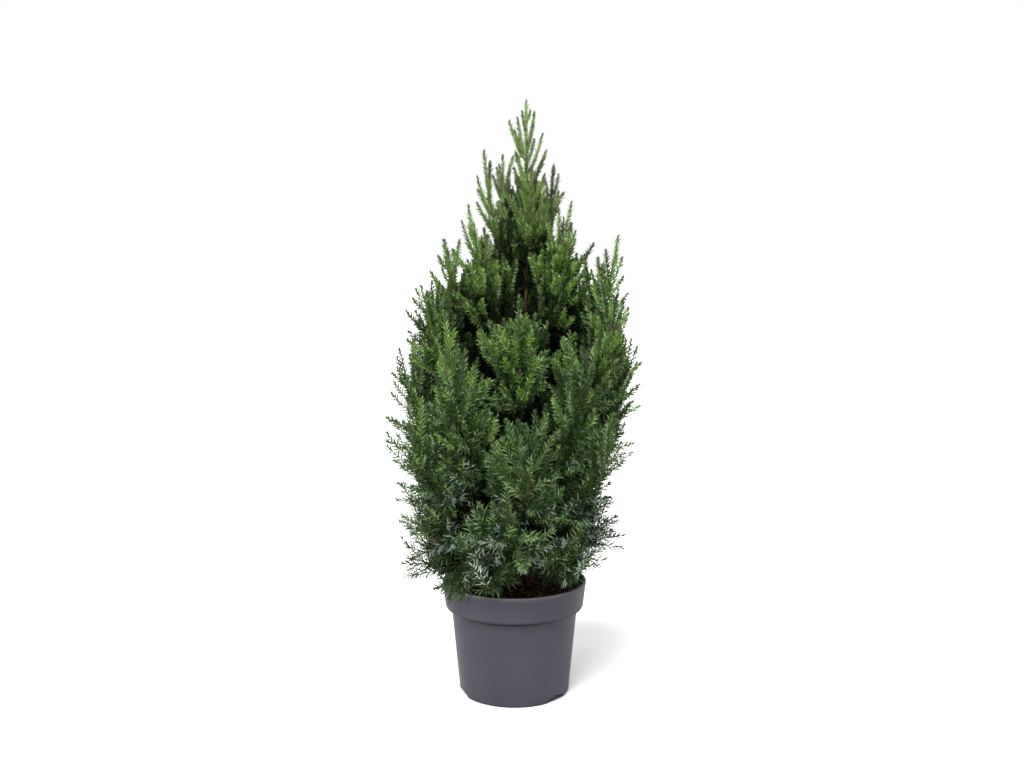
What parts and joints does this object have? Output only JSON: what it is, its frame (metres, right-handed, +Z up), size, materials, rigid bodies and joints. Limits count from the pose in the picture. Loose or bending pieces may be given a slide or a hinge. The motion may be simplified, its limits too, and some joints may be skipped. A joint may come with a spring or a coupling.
{
  "type": "potted stricta chinese juniper",
  "caption": "Young Chinese juniper of narrow conical stricta habit, with ascending needled shoots from a slim leaning trunk, in a round dark grey nursery pot.",
  "frame": {"origin": "centre of the pot's flat underside", "axes": "+Z up, +X to the right and -Y to the front as the plant is seen in its picture"},
  "size_m": [0.3303, 0.3175, 0.769],
  "materials": {
    "pot": "satin",
    "soil": "matte",
    "bark": "matte",
    "foliage": "matte"
  },
  "bodies": {
    "root": {"pot": "pot", "soil": "soil", "trunk": "bark", "bough_skirt_1": "bark", "bough_skirt_2": "bark", "bough_skirt_3": "bark", "bough_skirt_4": "bark", "bough_skirt_5": "bark", "bough_low_1": "bark", "bough_low_2": "bark", "bough_low_3": "bark", "bough_low_4": "bark", "bough_low_5": "bark", "bough_middle_1": "bark", "bough_middle_2": "bark", "bough_middle_3": "bark", "bough_middle_4": "bark", "bough_middle_5": "bark", "bough_middle_6": "bark", "bough_droop": "bark", "foliage_skirt_1": "foliage", "foliage_skirt_2": "foliage", "foliage_skirt_3": "foliage", "foliage_skirt_4": "foliage", "foliage_skirt_5": "foliage", "foliage_low_1": "foliage", "foliage_low_2": "foliage", "foliage_low_3": "foliage", "foliage_low_4": "foliage", "foliage_low_5": "foliage", "foliage_middle_1": "foliage", "foliage_middle_2": "foliage", "foliage_middle_3": "foliage", "foliage_middle_4": "foliage", "foliage_middle_5": "foliage", "foliage_middle_6": "foliage", "foliage_shoulder_1": "foliage", "foliage_shoulder_2": "foliage", "foliage_shoulder_3": "foliage", "foliage_shoulder_4": "foliage", "foliage_shoulder_5": "foliage", "foliage_shoulder_6": "foliage", "foliage_upper_1": "foliage", "foliage_upper_2": "foliage", "foliage_upper_3": "foliage", "foliage_upper_4": "foliage", "foliage_upper_5": "foliage", "foliage_high_1": "foliage", "foliage_high_2": "foliage", "foliage_high_3": "foliage", "foliage_high_4": "foliage", "foliage_top_1": "foliage", "foliage_top_2": "foliage", "foliage_top_3": "foliage", "foliage_spire_right": "foliage", "foliage_spire_left": "foliage", "foliage_spire_high": "foliage", "foliage_droop": "foliage", "foliage_leader": "foliage"}
  },
  "joints": []
}
